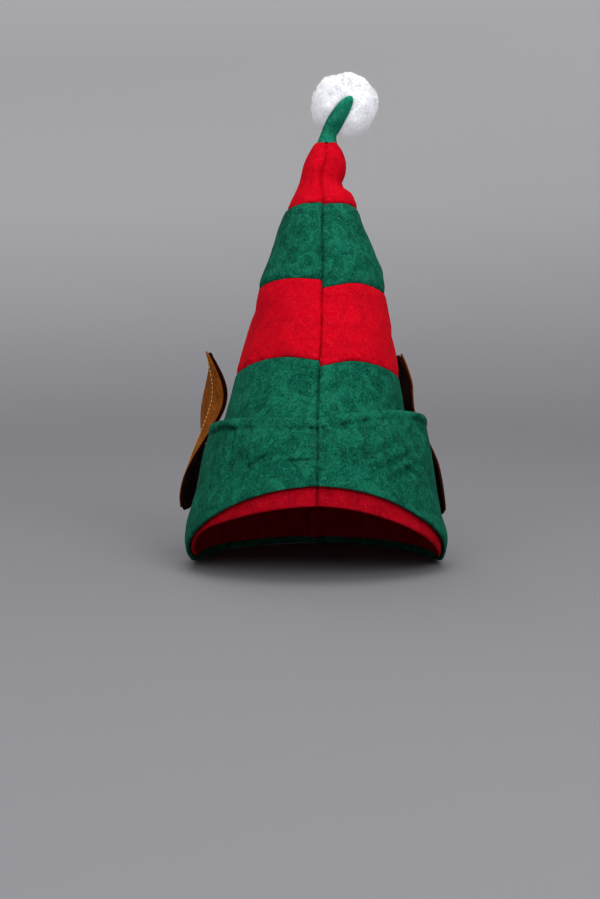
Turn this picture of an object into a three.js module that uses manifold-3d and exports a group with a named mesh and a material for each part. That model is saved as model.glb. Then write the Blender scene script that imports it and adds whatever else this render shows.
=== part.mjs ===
// Felt elf hat: a striped pointed crown of sewn panels with a bent tip, a turned-up cuff cut in an
// arch over the face, a felt ear on each side and a plush pompom.
// Millimetres, +Z up. The wearer faces -Y, and left and right are the wearer's: left is +X.
// The hat stands on the cuff's lower edge. The origin is the middle of the foot of its box.

import * as THREE from "three";
import { mergeVertices } from "three/addons/utils/BufferGeometryUtils.js";
import Module from "manifold-3d";

const wasm = await Module();
wasm.setup();

// Crown: outside sizes, and the felt that it is cut from
const CROWN_HEIGHT = 277;
const CROWN_WIDTH = 169;
const CROWN_DEPTH = 202;
const CROWN_FELT = 2;

// Tip
const TIP_LENGTH = 30;
const TIP_WIDTH = 13.6;
const TIP_SIDES = 14;

// Columns of a half panel of the crown or the cuff, without the narrow one at each seam
const PANEL_COLUMNS = 16;

// Seams: the gap between two panels sewn edge to edge, and how the felt dips into it
const SEAM_GAP = 0.3;
const SEAM_DIP = 1.1;
const SEAM_REACH = 3;
const DROP_REACH = 14;

// Cuff: a doubled felt band round the crown, with a stitched hem along its top edge
const CUFF_FELT = 2.5;
const CUFF_CLEARANCE = 0.6;
const CUFF_TOP = 92;
const CUFF_STAND = 10;
const CUFF_STAND_FROM = 48;
const HEM_HEIGHT = 7;
const HEM_PUFF = 0.7;
const HEM_DIP = 1;
const HEM_STITCH = 1.5;

// Arch of the cuff's lower edge over the face. Its feet lie at the sides between two turns in degrees
// from the front. ARCH_PAST is how far past the sides it springs, and ARCH_SOFT how gently.
const ARCH_RISE = 63;
const ARCH_FOOT_FROM = 80;
const ARCH_FOOT_TO = 106;
const ARCH_PAST = 0.05;
const ARCH_SOFT = 0.12;

// Red edge of the crown that shows below the arch, as far as a turn on each side, and curls inwards
const TRIM_TO_LEFT = 95;
const TRIM_TO_RIGHT = 66;
const TRIM_SHOW = 12.7;
const TRIM_LIFT = 5;
const TRIM_CURL = 4.5;

// Ears: two felt layers, a thin tan one outside and a brown one next to the hat, which is cut larger
const EAR_LENGTH = 106;
const EAR_WIDTH = 50;
const EAR_TAN_FELT = 1.2;
const EAR_BROWN_FELT = 1.8;
const EAR_MARGIN = 1.6;
const EAR_LAYER_GAP = 0.4;
const EAR_CREASE = 1.4;
const EAR_SEAT = 0.4;
const EAR_SEAT_FROM = 40;
const EAR_SEAT_TO = 160;
const EAR_COLUMNS = 6;
const EAR_FOOT_LEFT = 30;
const EAR_FOOT_RIGHT = 32;

// Pompom: a core with tapered locks of plush fused to it
const POMPOM_DIAMETER = 44;
const POMPOM_CORE = 37;
const POMPOM_ROOT = 24;
const POMPOM_LOCKS = 40;
const POMPOM_LOCK_WIDTH = 10.5;
const POMPOM_LOCK_TIP = 5.2;
const POMPOM_UNEVEN = 0.05;
const POMPOM_CLEARANCE = 0.35;

// Where the pompom's middle lies from the end of the tip, as shares of POMPOM_DIAMETER
const POMPOM_SIDE = -0.11;
const POMPOM_BACK = 0.37;
const POMPOM_DROP = -0.12;

const FELT_GREEN = { color: 0x0f5a47, roughness: 0.95, metalness: 0 };
const FELT_RED = { color: 0xc8031c, roughness: 0.95, metalness: 0 };
const FELT_TAN = { color: 0x643309, roughness: 0.95, metalness: 0 };
const FELT_BROWN = { color: 0x1c0a05, roughness: 0.95, metalness: 0 };
const PLUSH_WHITE = { color: 0xf4f4f5, roughness: 1, metalness: 0 };

// Rings of the crown from its rim to the foot of its tip. up is a share of CROWN_HEIGHT, side and wide
// are shares of half its width, and back and deep of half its depth. The crown leans back by 10 degrees.
const CROWN_SECTIONS = [
  { up: -0.05, side: -0.023, back: -0.085, wide: 0.87, deep: 0.89 },
  { up: 0.0, side: -0.022, back: -0.06, wide: 0.938, deep: 0.955 },
  { up: 0.034, side: -0.018, back: -0.043, wide: 0.978, deep: 0.987 },
  { up: 0.06, side: -0.019, back: -0.03, wide: 0.998, deep: 1.0 },
  { up: 0.107, side: -0.021, back: -0.01, wide: 0.962, deep: 0.975 },
  { up: 0.155, side: -0.015, back: 0.01, wide: 0.92, deep: 0.935 },
  { up: 0.25, side: -0.012, back: 0.05, wide: 0.824, deep: 0.83 },
  { up: 0.332, side: -0.012, back: 0.09, wide: 0.728, deep: 0.71 },
  { up: 0.369, side: -0.006, back: 0.108, wide: 0.697, deep: 0.665 },
  { up: 0.441, side: 0.008, back: 0.143, wide: 0.646, deep: 0.605 },
  { up: 0.536, side: 0.023, back: 0.19, wide: 0.578, deep: 0.535 },
  { up: 0.631, side: 0.027, back: 0.235, wide: 0.508, deep: 0.46 },
  { up: 0.679, side: 0.035, back: 0.257, wide: 0.48, deep: 0.425 },
  { up: 0.774, side: 0.028, back: 0.302, wide: 0.371, deep: 0.325 },
  { up: 0.846, side: 0.036, back: 0.335, wide: 0.276, deep: 0.238 },
  { up: 0.87, side: 0.026, back: 0.347, wide: 0.238, deep: 0.204 },
  { up: 0.905, side: 0.02, back: 0.362, wide: 0.162, deep: 0.148 },
  { up: 0.929, side: 0.039, back: 0.372, wide: 0.163, deep: 0.142 },
  { up: 0.953, side: 0.07, back: 0.382, wide: 0.157, deep: 0.134 },
  { up: 0.977, side: 0.075, back: 0.391, wide: 0.137, deep: 0.115 },
  { up: 1.0, side: 0.077, back: 0.4, wide: 0.082, deep: 0.07 },
];

// Rings of the tip, which bends over to the left and forwards. up, side and back are shares of
// TIP_LENGTH from the crown's top, and wide and deep are shares of half TIP_WIDTH.
const TIP_SECTIONS = [
  { up: 0.0, side: 0.0, back: 0.0, wide: 1.0, deep: 1.0 },
  { up: 0.14, side: 0.005, back: 0.01, wide: 0.82, deep: 0.8 },
  { up: 0.28, side: 0.08, back: -0.03, wide: 0.84, deep: 0.72 },
  { up: 0.42, side: 0.145, back: -0.1, wide: 0.92, deep: 0.7 },
  { up: 0.6, side: 0.25, back: -0.2, wide: 0.8, deep: 0.64 },
  { up: 0.75, side: 0.345, back: -0.28, wide: 0.74, deep: 0.62 },
  { up: 0.86, side: 0.425, back: -0.32, wide: 0.6, deep: 0.56 },
  { up: 0.95, side: 0.49, back: -0.345, wide: 0.4, deep: 0.42 },
  { up: 1.0, side: 0.525, back: -0.355, wide: 0.1, deep: 0.1 },
];

// Stripes from the rim up. top is where a stripe ends, as a share of CROWN_HEIGHT. In the same shares,
// left and right are how far that seam drops at the front on each half, which don't meet there, and
// sag_left and sag_right how far it hangs lower at each side of the hat.
const STRIPES = [
  { name: "crown_red_rim", felt: FELT_RED, top: 0.28, rows: 5, left: 0, right: 0, sag_left: 0, sag_right: 0 },
  {
    name: "crown_green_base", felt: FELT_GREEN, top: 0.469, rows: 4,
    left: 0.02, right: 0.008, sag_left: 0.02, sag_right: 0.03,
  },
  {
    name: "crown_red_lower", felt: FELT_RED, top: 0.658, rows: 4,
    left: 0.022, right: 0.003, sag_left: 0.008, sag_right: 0.018,
  },
  {
    name: "crown_green_middle", felt: FELT_GREEN, top: 0.847, rows: 5,
    left: 0.004, right: 0.0, sag_left: 0.006, sag_right: 0.008,
  },
  { name: "crown_red_upper", felt: FELT_RED, top: 1, rows: 7, left: 0, right: 0, sag_left: 0, sag_right: 0 },
];

// Soft folds and dents. up is a share of CROWN_HEIGHT, turn is in degrees from the front towards the
// left, slope is the fold's angle from level, long and thick are its half sizes as shares of half
// CROWN_WIDTH, and rise is its height as a share of CROWN_FELT.
const CROWN_FOLDS = [
  { up: 0.94, turn: 70, slope: -30, long: 0.18, thick: 0.07, rise: 0.5 },
  { up: 0.9, turn: 80, slope: 5, long: 0.18, thick: 0.05, rise: -1.0 },
  { up: 0.95, turn: -60, slope: 60, long: 0.2, thick: 0.06, rise: -0.5 },
  { up: 0.755, turn: -75, slope: 35, long: 0.3, thick: 0.08, rise: -0.8 },
  { up: 0.79, turn: -40, slope: 70, long: 0.25, thick: 0.1, rise: 0.6 },
  { up: 0.6, turn: 50, slope: -12, long: 0.3, thick: 0.1, rise: -0.5 },
  { up: 0.57, turn: -130, slope: 15, long: 0.45, thick: 0.12, rise: -0.9 },
  { up: 0.42, turn: -18, slope: 85, long: 0.12, thick: 0.09, rise: -0.7 },
  { up: 0.42, turn: 20, slope: 80, long: 0.12, thick: 0.08, rise: -0.7 },
  { up: 0.45, turn: 150, slope: -20, long: 0.35, thick: 0.12, rise: -0.9 },
  { up: 0.7, turn: 135, slope: 25, long: 0.35, thick: 0.11, rise: 0.8 },
];
const CUFF_FOLDS = [
  { up: 0.22, turn: 68, slope: -24, long: 0.3, thick: 0.07, rise: 0.7 },
  { up: 0.15, turn: 72, slope: -14, long: 0.24, thick: 0.07, rise: 0.5 },
  { up: 0.27, turn: 30, slope: 18, long: 0.22, thick: 0.07, rise: 0.5 },
  { up: 0.11, turn: -75, slope: 62, long: 0.25, thick: 0.09, rise: 0.5 },
  { up: 0.2, turn: 165, slope: 20, long: 0.35, thick: 0.1, rise: 0.8 },
  { up: 0.19, turn: -155, slope: -25, long: 0.35, thick: 0.1, rise: 0.8 },
];

// The cuff's top edge round the hat. stand is how far it stands off the crown, as a share of
// CUFF_STAND, and is small where the ears are sewn on. rise is how far the edge lies above CUFF_TOP, as
// a share of HEM_HEIGHT.
const CUFF_EDGES = [
  { turn: -180, stand: 0.4, rise: 0.0 },
  { turn: -145, stand: 0.25, rise: -0.15 },
  { turn: -112, stand: 0.3, rise: -0.35 },
  { turn: -80, stand: 0.52, rise: -0.46 },
  { turn: -45, stand: 0.5, rise: -0.44 },
  { turn: -8, stand: 0.4, rise: -0.72 },
  { turn: 8, stand: 0.42, rise: -0.6 },
  { turn: 22, stand: 0.5, rise: -0.1 },
  { turn: 45, stand: 0.7, rise: 0.24 },
  { turn: 78, stand: 1.0, rise: 0.08 },
  { turn: 100, stand: 0.5, rise: 0.0 },
  { turn: 120, stand: 0.1, rise: 0.0 },
  { turn: 145, stand: 0.15, rise: 0.0 },
  { turn: 180, stand: 0.4, rise: 0.0 },
];

// Outline of an ear from its lobe (0) to its point (1): fore and aft are how far it reaches in front of
// and behind its middle line, as shares of EAR_WIDTH. cup is how far its edges curl outwards, as a
// share of EAR_WIDTH, and crease how far its sewn crease stands up, as a share of EAR_CREASE.
const EAR_OUTLINE = [
  { up: 0.0, fore: 0.06, aft: 0.06, cup: 0.0, crease: 0.0 },
  { up: 0.025, fore: 0.19, aft: 0.17, cup: 0.01, crease: 0.0 },
  { up: 0.09, fore: 0.31, aft: 0.29, cup: 0.02, crease: 0.0 },
  { up: 0.25, fore: 0.4, aft: 0.42, cup: 0.04, crease: 0.2 },
  { up: 0.42, fore: 0.42, aft: 0.51, cup: 0.03, crease: 0.6 },
  { up: 0.56, fore: 0.41, aft: 0.52, cup: 0.03, crease: 1.0 },
  { up: 0.7, fore: 0.35, aft: 0.45, cup: 0.02, crease: 1.0 },
  { up: 0.82, fore: 0.25, aft: 0.32, cup: 0.01, crease: 0.8 },
  { up: 0.92, fore: 0.13, aft: 0.17, cup: 0.0, crease: 0.4 },
  { up: 0.98, fore: 0.05, aft: 0.07, cup: 0.0, crease: 0.1 },
  { up: 1.0, fore: 0.02, aft: 0.02, cup: 0.0, crease: 0.0 },
];

// Lie of each ear, from lobe to point. out is how far its outer face lies from the hat's middle, as a
// share of half CROWN_WIDTH, back is its middle line as a share of half CROWN_DEPTH, and turn swings
// its back edge outwards, in degrees.
const EAR_LIE_RIGHT = [
  { up: 0.0, out: 1.03, back: 0.46, turn: -12 },
  { up: 0.12, out: 1.015, back: 0.47, turn: -12 },
  { up: 0.25, out: 0.965, back: 0.475, turn: -9 },
  { up: 0.36, out: 0.92, back: 0.48, turn: -4 },
  { up: 0.46, out: 0.88, back: 0.485, turn: 5 },
  { up: 0.58, out: 0.83, back: 0.49, turn: 16 },
  { up: 0.7, out: 0.79, back: 0.49, turn: 23 },
  { up: 0.85, out: 0.79, back: 0.49, turn: 23 },
  { up: 1.0, out: 0.83, back: 0.49, turn: 12 },
];
const EAR_LIE_LEFT = [
  { up: 0.0, out: 0.965, back: 0.4, turn: -9 },
  { up: 0.12, out: 0.92, back: 0.42, turn: -10 },
  { up: 0.25, out: 0.87, back: 0.44, turn: -12 },
  { up: 0.36, out: 0.82, back: 0.46, turn: -15 },
  { up: 0.48, out: 0.735, back: 0.48, turn: -18 },
  { up: 0.6, out: 0.655, back: 0.49, turn: -19 },
  { up: 0.72, out: 0.65, back: 0.49, turn: -17 },
  { up: 0.83, out: 0.682, back: 0.5, turn: -14 },
  { up: 0.9, out: 0.672, back: 0.51, turn: -11 },
  { up: 1.0, out: 0.63, back: 0.53, turn: -8 },
];

// Helpers for numbers

const radians = THREE.MathUtils.degToRad;

const bell = (value) => Math.exp(-(value ** 2));

// The value of one column of a table at a place, on a smooth curve through its rows.
function along(rows, place, at, column) {
  let i = 0;
  while (i < rows.length - 2 && rows[i + 1][place] < at) i++;
  const slope = (j) => {
    const before = rows[Math.max(j - 1, 0)];
    const after = rows[Math.min(j + 1, rows.length - 1)];
    return (after[column] - before[column]) / (after[place] - before[place]);
  };
  const run = rows[i + 1][place] - rows[i][place];
  const t = THREE.MathUtils.clamp((at - rows[i][place]) / run, 0, 1);
  const from = rows[i][column] * (1 + 2 * t) * (1 - t) ** 2;
  const to = rows[i + 1][column] * (3 - 2 * t) * t ** 2;
  const bend = run * t * (1 - t) * (slope(i) * (1 - t) - slope(i + 1) * t);
  return from + to + bend;
}

// Shares from 0 to 1 in equal steps, with one more step close to each end.
function edgedSteps(count, edge) {
  const steps = [0];
  for (let i = 0; i <= count; i++) steps.push(edge + ((1 - 2 * edge) * i) / count);
  steps.push(1);
  return steps;
}

// Closed solids from grids of points

function meshOf(name, geometry, felt) {
  const mesh = new THREE.Mesh(geometry, new THREE.MeshStandardMaterial(felt));
  mesh.name = name;
  return mesh;
}

function geometryOf(points, faces) {
  const geometry = new THREE.BufferGeometry();
  const numbers = points.flatMap((point) => point.toArray());
  geometry.setAttribute("position", new THREE.Float32BufferAttribute(numbers, 3));
  geometry.setIndex(faces);
  return geometry;
}

// A felt panel between two faces. place gives the point for a column, a row and a face, 0 for the outer
// face and 1 for the inner one. Columns run to the left seen from outside, and rows upwards.
function panelSolid(place, columns, rows) {
  const points = [];
  const faces = [];
  const at = (face, i, j) => (face * (columns + 1) + i) * (rows + 1) + j;
  const quad = (a, b, c, d) => faces.push(a, b, c, a, c, d);
  for (const face of [0, 1]) {
    for (let i = 0; i <= columns; i++) {
      for (let j = 0; j <= rows; j++) points.push(place(i, j, face));
    }
  }
  for (let i = 0; i < columns; i++) {
    for (let j = 0; j < rows; j++) {
      quad(at(0, i, j), at(0, i + 1, j), at(0, i + 1, j + 1), at(0, i, j + 1));
      quad(at(1, i, j), at(1, i, j + 1), at(1, i + 1, j + 1), at(1, i + 1, j));
    }
    quad(at(1, i, 0), at(1, i + 1, 0), at(0, i + 1, 0), at(0, i, 0));
    quad(at(0, i, rows), at(0, i + 1, rows), at(1, i + 1, rows), at(1, i, rows));
  }
  for (let j = 0; j < rows; j++) {
    quad(at(0, 0, j), at(0, 0, j + 1), at(1, 0, j + 1), at(1, 0, j));
    quad(at(1, columns, j), at(1, columns, j + 1), at(0, columns, j + 1), at(0, columns, j));
  }
  return geometryOf(points, faces);
}

// A closed body through a run of rings, with a point closing each end.
function ringSolid(rings, first, last) {
  const count = rings[0].length;
  const points = rings.flat();
  const faces = [];
  const at = (ring, i) => ring * count + (i % count);
  for (let ring = 0; ring < rings.length - 1; ring++) {
    for (let i = 0; i < count; i++) {
      faces.push(at(ring, i), at(ring, i + 1), at(ring + 1, i + 1));
      faces.push(at(ring, i), at(ring + 1, i + 1), at(ring + 1, i));
    }
  }
  points.push(first, last);
  for (let i = 0; i < count; i++) {
    faces.push(points.length - 2, at(0, i + 1), at(0, i));
    faces.push(points.length - 1, at(rings.length - 1, i), at(rings.length - 1, i + 1));
  }
  return geometryOf(points, faces);
}

function manifoldOf(geometry) {
  const bare = geometry.clone();
  bare.deleteAttribute("normal");
  bare.deleteAttribute("uv");
  const merged = mergeVertices(bare);
  const mesh = new wasm.Mesh({
    numProp: 3,
    vertProperties: merged.attributes.position.array,
    triVerts: new Uint32Array(merged.index.array),
  });
  return new wasm.Manifold(mesh);
}

function geometryFrom(manifold) {
  const made = manifold.getMesh();
  const geometry = new THREE.BufferGeometry();
  geometry.setAttribute("position", new THREE.BufferAttribute(made.vertProperties, made.numProp));
  geometry.setIndex(new THREE.BufferAttribute(made.triVerts, 1));
  return geometry;
}

// Crown

function crownCentre(up) {
  const side = along(CROWN_SECTIONS, "up", up, "side");
  const back = along(CROWN_SECTIONS, "up", up, "back");
  return new THREE.Vector3((side * CROWN_WIDTH) / 2, (back * CROWN_DEPTH) / 2, up * CROWN_HEIGHT);
}

const crownWide = (up) => (along(CROWN_SECTIONS, "up", up, "wide") * CROWN_WIDTH) / 2;
const crownDeep = (up) => (along(CROWN_SECTIONS, "up", up, "deep") * CROWN_DEPTH) / 2;

// The frame of a ring round a centre line: its middle, and the ways to its left and its back.
function ringFrame(centre, at) {
  const step = 0.01;
  const axis = centre(Math.min(at + step, 1)).sub(centre(at - step)).normalize();
  const left = new THREE.Vector3(1, 0, 0).addScaledVector(axis, -axis.x).normalize();
  return { middle: centre(at), left, back: axis.clone().cross(left) };
}

// A point on a ring at a turn from the front towards the left.
function ringPoint({ middle, left, back }, wide, deep, turn) {
  const point = middle.clone().addScaledVector(left, wide * Math.sin(turn));
  return point.addScaledVector(back, -deep * Math.cos(turn));
}

const plainCrown = (up, turn) => ringPoint(ringFrame(crownCentre, up), crownWide(up), crownDeep(up), turn);

function crownNormal(up, turn) {
  const step = 0.002;
  const round = plainCrown(up, turn + step).sub(plainCrown(up, turn - step));
  const rise = plainCrown(Math.min(up + step, 1), turn).sub(plainCrown(up - step, turn));
  return round.cross(rise).normalize();
}

// The height of a set of soft folds at a place on the hat.
function foldRise(folds, up, turn) {
  const half = CROWN_WIDTH / 2;
  let rise = 0;
  for (const fold of folds) {
    const apart = turn - radians(fold.turn);
    const across = (Math.atan2(Math.sin(apart), Math.cos(apart)) * crownWide(up)) / half;
    const above = ((up - fold.up) * CROWN_HEIGHT) / half;
    const slope = radians(fold.slope);
    const run = (across * Math.cos(slope) + above * Math.sin(slope)) / fold.long;
    const off = (above * Math.cos(slope) - across * Math.sin(slope)) / fold.thick;
    rise += fold.rise * CROWN_FELT * bell(run) * bell(off);
  }
  return rise;
}

// The distance round the hat from the nearer one of its front and back seams.
const seamDistance = (up, turn) => Math.abs(Math.sin(turn)) * crownWide(up);

// How far the felt dips into a seam that lies at a distance.
const seamDip = (distance) => SEAM_DIP * Math.max(0, 1 - distance / SEAM_REACH);

// The crown's wall at a depth in from its outer face.
function crownWall(up, turn, depth) {
  const lift = foldRise(CROWN_FOLDS, up, turn) - seamDip(seamDistance(up, turn)) - depth;
  return plainCrown(up, turn).addScaledVector(crownNormal(up, turn), lift);
}

// The height share at which a wall crosses a level, found by halving.
function shareAtLevel(wall, level) {
  let low = CROWN_SECTIONS[0].up;
  let high = 0.5;
  for (let i = 0; i < 30; i++) {
    const middle = (low + high) / 2;
    if (wall(middle).z < level) low = middle;
    else high = middle;
  }
  return low;
}

// The turn of a column of a half panel, from the front seam round to the back one. hand is 1 for the
// left half and -1 for the right one, whose columns run from the back to the front.
function columnTurn(hand, up, i, columns) {
  const shares = edgedSteps(columns - 2, SEAM_REACH / (Math.PI * crownWide(up)));
  const start = SEAM_GAP / 2 / crownWide(up);
  return hand * (start + shares[hand > 0 ? i : columns - i] * (Math.PI - 2 * start));
}

// Lower edges

// The height of the cuff's lower edge: an arch over the face that runs down to a foot at each side.
function cuffEdge(turn) {
  const rise = (height) => height + Math.hypot(height, ARCH_SOFT);
  const arch = rise(Math.cos(turn) + ARCH_PAST) / rise(1 + ARCH_PAST);
  const foot = THREE.MathUtils.smoothstep(Math.abs(turn), radians(ARCH_FOOT_FROM), radians(ARCH_FOOT_TO));
  return ARCH_RISE * arch * (1 - foot);
}

// The height of the crown's lower edge. It shows below the arch, less so on the right, and it hides
// behind the cuff elsewhere.
function crownEdge(turn) {
  const reach = radians(turn > 0 ? TRIM_TO_LEFT : TRIM_TO_RIGHT);
  const show = TRIM_SHOW * Math.max(0, 1 - (Math.abs(turn) / reach) ** 2.2);
  return Math.max(cuffEdge(turn) - show, TRIM_LIFT);
}

// How far the crown's lower edge curls inwards below the arch.
function trimCurl(turn, level) {
  const below = Math.max(0, cuffEdge(turn) - level) / TRIM_SHOW;
  return TRIM_CURL * below ** 2;
}

function rimWall(up, turn, depth) {
  const wall = crownWall(up, turn, depth);
  return wall.addScaledVector(crownNormal(up, turn), -trimCurl(turn, wall.z));
}

// The height share of the seam above a stripe at a turn. It drops close to the front seam and sags at
// the sides.
function stripeSeam(stripe, turn) {
  const front = Math.cos(turn) > 0 ? bell(seamDistance(stripe.top, turn) / DROP_REACH) : 0;
  const drop = (turn > 0 ? stripe.left : stripe.right) * front;
  return stripe.top - drop - (turn > 0 ? stripe.sag_left : stripe.sag_right) * Math.sin(turn) ** 4;
}

// One half of a stripe.
function stripeGeometry(stripe, below, hand) {
  const columns = PANEL_COLUMNS + 2;
  const rows = stripe.rows + 2;
  const gap = SEAM_GAP / CROWN_HEIGHT;
  const tall = stripe.top - (below ? below.top : 0);
  const wall = below ? crownWall : rimWall;
  const place = (i, j, face) => {
    const depth = face * CROWN_FELT;
    const low = (turn) => {
      if (below) return stripeSeam(below, turn) + gap / 2;
      return shareAtLevel((up) => wall(up, turn, depth), crownEdge(turn));
    };
    const high = (turn) => stripeSeam(stripe, turn) - (stripe.top < 1 ? gap / 2 : 0);
    const share = edgedSteps(rows - 2, SEAM_REACH / (tall * CROWN_HEIGHT))[j];
    const from = columnTurn(hand, below ? below.top : stripe.top, i, columns);
    const to = columnTurn(hand, stripe.top, i, columns);
    const turn = from + (to - from) * share;
    const up = low(turn) + (high(turn) - low(turn)) * share;
    const sunk = (j === 0 && below) || (j === rows && stripe.top < 1) ? SEAM_DIP : 0;
    return wall(up, turn, depth + sunk);
  };
  return panelSolid(place, columns, rows);
}

function crown() {
  const meshes = [];
  STRIPES.forEach((stripe, i) => {
    meshes.push(meshOf(`${stripe.name}_left`, stripeGeometry(stripe, STRIPES[i - 1], 1), stripe.felt));
    meshes.push(meshOf(`${stripe.name}_right`, stripeGeometry(stripe, STRIPES[i - 1], -1), stripe.felt));
  });
  return meshes;
}

// Tip

function tipCentre(share) {
  const side = along(TIP_SECTIONS, "up", share, "side");
  const back = along(TIP_SECTIONS, "up", share, "back");
  return crownCentre(1).add(new THREE.Vector3(side, back, share).multiplyScalar(TIP_LENGTH));
}

// A ring of the tip. Its foot lies in the plane of the crown's top ring, a seam's gap above it.
function tipRing(share, inset) {
  const root = ringFrame(crownCentre, 1);
  const own = ringFrame(tipCentre, share);
  const ease = Math.min(1, share / 0.28);
  const left = root.left.clone().lerp(own.left, ease).normalize();
  const back = root.back.clone().lerp(own.back, ease).normalize();
  const middle = own.middle.addScaledVector(left.clone().cross(back), SEAM_GAP);
  const wide = (along(TIP_SECTIONS, "up", share, "wide") * TIP_WIDTH) / 2 - inset;
  const deep = (along(TIP_SECTIONS, "up", share, "deep") * TIP_WIDTH) / 2 - inset;
  const turns = Array.from({ length: TIP_SIDES }, (_, i) => (2 * Math.PI * i) / TIP_SIDES);
  return turns.map((turn) => ringPoint({ middle, left, back }, wide, deep, turn));
}

const TIP_SHARES = TIP_SECTIONS.map((row) => row.up);

// The tip is a felt tube, closed at its far end.
function tipGeometry() {
  const hollow = TIP_SHARES.slice(0, -3);
  const inside = hollow.map((share) => tipRing(share, CROWN_FELT)).reverse();
  const outside = TIP_SHARES.map((share) => tipRing(share, 0));
  return ringSolid([...inside, ...outside], tipCentre(hollow.at(-1) + 0.08), tipCentre(1));
}

// The room that the tip takes up, with a clearance all round.
function tipRoom(clearance) {
  const rings = TIP_SHARES.map((share) => tipRing(share, -clearance));
  return ringSolid(rings, tipCentre(0), tipCentre(1 + clearance / TIP_LENGTH));
}

// Cuff

const cuffEdgeValue = (turn, column) => along(CUFF_EDGES, "turn", THREE.MathUtils.radToDeg(turn), column);

// The height share of the cuff's top edge.
const cuffTop = (turn) => (CUFF_TOP + HEM_HEIGHT * cuffEdgeValue(turn, "rise")) / CROWN_HEIGHT;

// How far the cuff's outer face stands off the crown.
function cuffLift(up, turn) {
  const above = (up * CROWN_HEIGHT - CUFF_STAND_FROM) / (CUFF_TOP - CUFF_STAND_FROM);
  const ramp = THREE.MathUtils.clamp(above, 0, 1.1);
  const stand = cuffEdgeValue(turn, "stand") * CUFF_STAND * ramp;
  const fold = Math.max(0, foldRise(CUFF_FOLDS, up, turn));
  return CUFF_CLEARANCE + CUFF_FELT + stand + fold - seamDip(seamDistance(up, turn));
}

// The hem: felt puffed up above the stitch line, and a groove along it.
function hemLift(up, turn) {
  const below = (cuffTop(turn) - up) * CROWN_HEIGHT;
  const puff = HEM_PUFF * bell((below - HEM_HEIGHT / 2) / (HEM_HEIGHT / 2));
  return puff - HEM_DIP * bell((below - HEM_HEIGHT) / HEM_STITCH);
}

function cuffWall(up, turn, face) {
  const lift = cuffLift(up, turn) + (face === 0 ? hemLift(up, turn) : -CUFF_FELT);
  return plainCrown(up, turn).addScaledVector(crownNormal(up, turn), lift);
}

// Shares of the cuff's height for its rows: close together at its foot and along its hem.
function cuffRows(height) {
  const stitch = HEM_HEIGHT / height;
  const step = HEM_STITCH / height;
  const body = 1 - stitch - step;
  const lower = [0, 0.045, 0.1, 0.17, 0.25, 0.37, 0.5, 0.66, 0.83, 1].map((share) => share * body);
  return [...lower, 1 - stitch, 1 - stitch + step, 1 - stitch / 2, 1];
}

function cuffGeometry(hand) {
  const columns = PANEL_COLUMNS + 2;
  const rows = cuffRows(CUFF_TOP).length - 1;
  const place = (i, j, face) => {
    const turn = columnTurn(hand, cuffTop(0), i, columns);
    const low = shareAtLevel((up) => cuffWall(up, turn, face), cuffEdge(turn));
    const height = cuffTop(turn) - low;
    return cuffWall(low + height * cuffRows(height * CROWN_HEIGHT)[j], turn, face);
  };
  return panelSolid(place, columns, rows);
}

function cuff() {
  return [
    meshOf("cuff_left", cuffGeometry(1), FELT_GREEN),
    meshOf("cuff_right", cuffGeometry(-1), FELT_GREEN),
  ];
}

// Ears

// A point of an ear at a height share, a place across it from -1 at its front edge to 1 at its back
// edge, a depth in from its outer face, and a margin past its outline. hand is 1 on the left side and
// -1 on the right.
function earPoint(ear, up, across, depth, margin) {
  const height = up + ((2 * up - 1) * margin) / EAR_LENGTH;
  const lie = (column) => along(ear.lie, "up", height, column);
  const outline = (column) => along(EAR_OUTLINE, "up", up, column);
  const turn = radians(lie("turn"));
  const reach = across * (EAR_WIDTH * outline(across < 0 ? "fore" : "aft") + margin);
  const curl = outline("cup") * EAR_WIDTH * across ** 2;
  const ridge = outline("crease") * EAR_CREASE * (1 - Math.abs(across));
  const away = curl + ridge - depth;
  const x = (lie("out") * CROWN_WIDTH) / 2 + reach * Math.sin(turn) + away * Math.cos(turn) + ear.shift;
  const y = (lie("back") * CROWN_DEPTH) / 2 + reach * Math.cos(turn) - away * Math.sin(turn);
  return new THREE.Vector3(ear.hand * x, y, ear.foot + height * EAR_LENGTH);
}

// Rows of an ear: those of its outline, and one more in the middle of each wide step.
const EAR_ROWS = EAR_OUTLINE.flatMap((row, i) => {
  const next = EAR_OUTLINE[i + 1];
  return next && next.up - row.up > 0.11 ? [row.up, (row.up + next.up) / 2] : [row.up];
});

// A layer of an ear between two depths.
function earLayer(ear, from, to, margin) {
  const place = (i, j, face) => {
    const across = (2 * i) / EAR_COLUMNS - 1;
    return earPoint(ear, EAR_ROWS[j], ear.hand * across, face === 0 ? from : to, margin);
  };
  return panelSolid(place, EAR_COLUMNS, EAR_ROWS.length - 1);
}

// The point of the cuff's outer face on one side at a distance back and a level, found by halving.
function cuffSpot(hand, back, level) {
  let low = radians(EAR_SEAT_FROM);
  let high = radians(EAR_SEAT_TO);
  let spot = null;
  for (let i = 0; i < 12; i++) {
    const turn = (hand * (low + high)) / 2;
    const up = shareAtLevel((share) => cuffWall(share, turn, 0), level);
    spot = { point: cuffWall(up, turn, 0), below: cuffTop(turn) - up };
    if (spot.point.y < back) low = Math.abs(turn);
    else high = Math.abs(turn);
  }
  return spot;
}

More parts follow.
